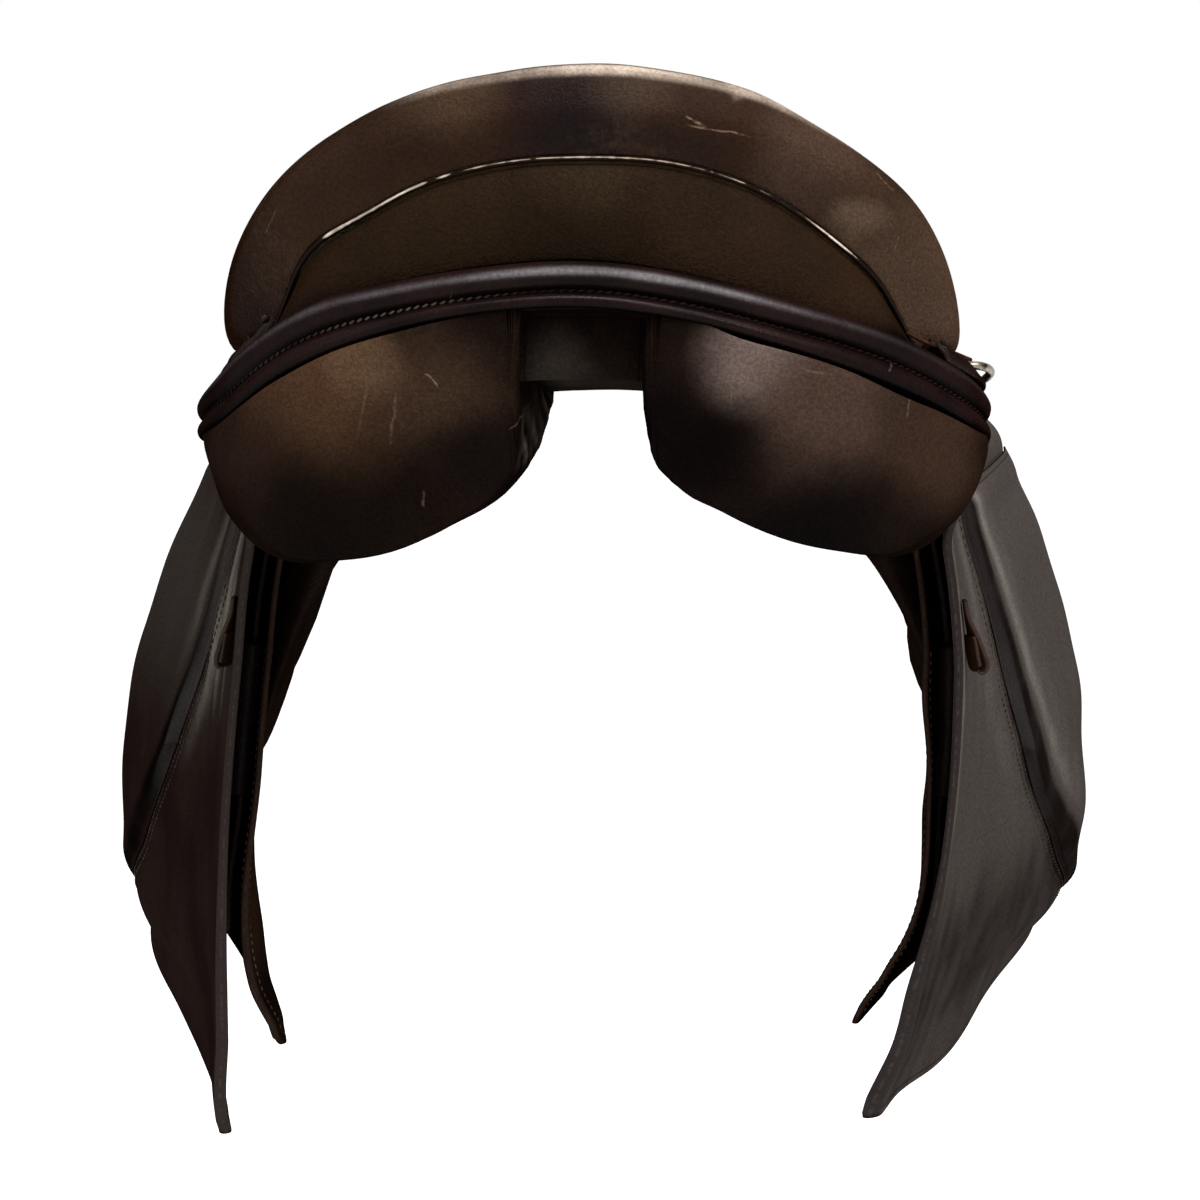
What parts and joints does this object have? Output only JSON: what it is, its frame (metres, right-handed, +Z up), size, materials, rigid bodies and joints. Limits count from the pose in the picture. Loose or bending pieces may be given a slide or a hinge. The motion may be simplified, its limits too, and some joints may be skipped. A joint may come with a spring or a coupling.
{
  "type": "all-purpose saddle",
  "caption": "Leather all-purpose riding saddle with flaps and skirts that lift, girth straps, sliding guards, stirrup bars with latches and a rear ring.",
  "frame": {"origin": "under the middle of the gullet, level with the lowest point of the rear panels, where the saddle sits on a horse or a rack", "axes": "+X to the rider's right, +Y forward to the pommel, +Z up"},
  "size_m": [0.5491, 0.4744, 0.5266],
  "materials": {
    "seat_leather": "smooth, waxed and worn",
    "flap_leather": "smooth, with a soft grain",
    "panel_leather": "soft and matt",
    "dark_leather": "matt and creased",
    "piping_cream": "worn through to its pale core",
    "strap_leather": "smooth",
    "lining": "matt",
    "foam": "dense felt and foam",
    "webbing": "woven",
    "laminated_wood": "lacquered",
    "blued_steel": "dark, oiled",
    "nickel": "plated and slightly dull"
  },
  "bodies": {
    "saddle": {"cantle_facing": "seat_leather", "cantle_piping": "piping_cream", "girth_web_left": "webbing", "girth_web_right": "webbing", "gullet_lining": "lining", "gullet_plate": "blued_steel", "head_plate": "blued_steel", "knee_roll_left": "dark_leather", "knee_roll_right": "dark_leather", "latch_pin_left": "blued_steel", "latch_pin_right": "blued_steel", "panel_left": "panel_leather", "panel_right": "panel_leather", "pommel_facing": "seat_leather", "rear_welt": "seat_leather", "ring_chape_right": "strap_leather", "seam_cord_left": "seat_leather", "seam_cord_right": "seat_leather", "seat_cover": "seat_leather", "seat_foam": "foam", "seat_web_cross": "webbing", "seat_web_long": "webbing", "skirt_tail_left": "seat_leather", "skirt_tail_right": "seat_leather", "spring_left": "blued_steel", "spring_right": "blued_steel", "stirrup_bar_left": "nickel", "stirrup_bar_right": "nickel", "sweat_flap_left": "dark_leather", "sweat_flap_right": "dark_leather", "tree_cantle": "laminated_wood", "tree_head": "laminated_wood", "tree_rail_left": "laminated_wood", "tree_rail_right": "laminated_wood"},
    "flap_left": {"flap_left": "flap_leather", "knee_pad_left": "flap_leather", "keeper_left": "strap_leather"},
    "skirt_left": {"skirt_left": "seat_leather"},
    "girth_strap_1_left": {"girth_strap_1_left": "strap_leather"},
    "girth_strap_2_left": {"girth_strap_2_left": "strap_leather"},
    "girth_strap_3_left": {"girth_strap_3_left": "strap_leather"},
    "strap_guard_left": {"strap_guard_left": "strap_leather"},
    "bar_latch_left": {"bar_latch_left": "nickel"},
    "flap_right": {"flap_right": "flap_leather", "knee_pad_right": "flap_leather", "keeper_right": "strap_leather"},
    "skirt_right": {"skirt_right": "seat_leather"},
    "girth_strap_1_right": {"girth_strap_1_right": "strap_leather"},
    "girth_strap_2_right": {"girth_strap_2_right": "strap_leather"},
    "girth_strap_3_right": {"girth_strap_3_right": "strap_leather"},
    "strap_guard_right": {"strap_guard_right": "strap_leather"},
    "bar_latch_right": {"bar_latch_right": "nickel"},
    "rear_ring": {"rear_ring_right": "nickel"}
  },
  "joints": [
    {"name": "flap_left_lift", "type": "hinge", "parent": "saddle", "child": "flap_left", "pos_m": [-0.106, 0, 0.107], "axis": [0.257, 0.9638, 0.0707], "range_deg": [0, 57]},
    {"name": "skirt_left_lift", "type": "hinge", "parent": "flap_left", "child": "skirt_left", "pos_m": [-0.106, 0, 0.107], "axis": [0.257, 0.9638, 0.0707], "range_deg": [0, 28]},
    {"name": "girth_strap_1_left_swing", "type": "hinge", "parent": "saddle", "child": "girth_strap_1_left", "pos_m": [-0.16394, -0.02215, -0.01436], "axis": [-0.9628, -0.1669, 0.2123], "range_deg": [-1, 1]},
    {"name": "girth_strap_2_left_swing", "type": "hinge", "parent": "saddle", "child": "girth_strap_2_left", "pos_m": [-0.17045, 0.01031, -0.01492], "axis": [-0.9421, -0.2078, 0.2632], "range_deg": [-1, 1]},
    {"name": "girth_strap_3_left_swing", "type": "hinge", "parent": "saddle", "child": "girth_strap_3_left", "pos_m": [-0.17842, 0.04248, -0.01559], "axis": [-0.9196, -0.2231, 0.3235], "range_deg": [-1, 1]},
    {"name": "strap_guard_left_slide", "type": "hinge", "parent": "girth_strap_2_left", "child": "strap_guard_left", "pos_m": [0.88348, 0.008, -0.2404], "axis": [0, 1, 0], "range_deg": [-0.58, 0.21]},
    {"name": "bar_latch_left_turn", "type": "hinge", "parent": "saddle", "child": "bar_latch_left", "pos_m": [-0.1029, 0.091, 0.0765], "axis": [-1, 0, 0], "range_deg": [0, 45]},
    {"name": "flap_right_lift", "type": "hinge", "parent": "saddle", "child": "flap_right", "pos_m": [0.106, 0, 0.107], "axis": [0.257, -0.9638, -0.0707], "range_deg": [0, 57]},
    {"name": "skirt_right_lift", "type": "hinge", "parent": "flap_right", "child": "skirt_right", "pos_m": [0.106, 0, 0.107], "axis": [0.257, -0.9638, -0.0707], "range_deg": [0, 28]},
    {"name": "girth_strap_1_right_swing", "type": "hinge", "parent": "saddle", "child": "girth_strap_1_right", "pos_m": [0.16394, -0.02215, -0.01436], "axis": [0.9628, -0.1669, 0.2123], "range_deg": [-1, 1]},
    {"name": "girth_strap_2_right_swing", "type": "hinge", "parent": "saddle", "child": "girth_strap_2_right", "pos_m": [0.17045, 0.01031, -0.01492], "axis": [0.9421, -0.2078, 0.2632], "range_deg": [-1, 1]},
    {"name": "girth_strap_3_right_swing", "type": "hinge", "parent": "saddle", "child": "girth_strap_3_right", "pos_m": [0.17842, 0.04248, -0.01559], "axis": [0.9196, -0.2231, 0.3235], "range_deg": [-1, 1]},
    {"name": "strap_guard_right_slide", "type": "hinge", "parent": "girth_strap_2_right", "child": "strap_guard_right", "pos_m": [-0.27551, 0.008, -0.10448], "axis": [0, -1, 0], "range_deg": [-1.37, 0.5]},
    {"name": "bar_latch_right_turn", "type": "hinge", "parent": "saddle", "child": "bar_latch_right", "pos_m": [0.1029, 0.091, 0.0765], "axis": [-1, 0, 0], "range_deg": [0, 45]},
    {"name": "rear_ring_swing", "type": "hinge", "parent": "saddle", "child": "rear_ring", "pos_m": [0.1709, -0.115, 0.0882], "axis": [0, -1, 0], "range_deg": [0, 105]}
  ],
  "couplings": [
    {"joint": "girth_strap_1_left_swing", "follows": "girth_strap_2_left_swing", "ratio": 1},
    {"joint": "girth_strap_3_left_swing", "follows": "girth_strap_2_left_swing", "ratio": 1},
    {"joint": "girth_strap_1_right_swing", "follows": "girth_strap_2_right_swing", "ratio": 1},
    {"joint": "girth_strap_3_right_swing", "follows": "girth_strap_2_right_swing", "ratio": 1}
  ]
}
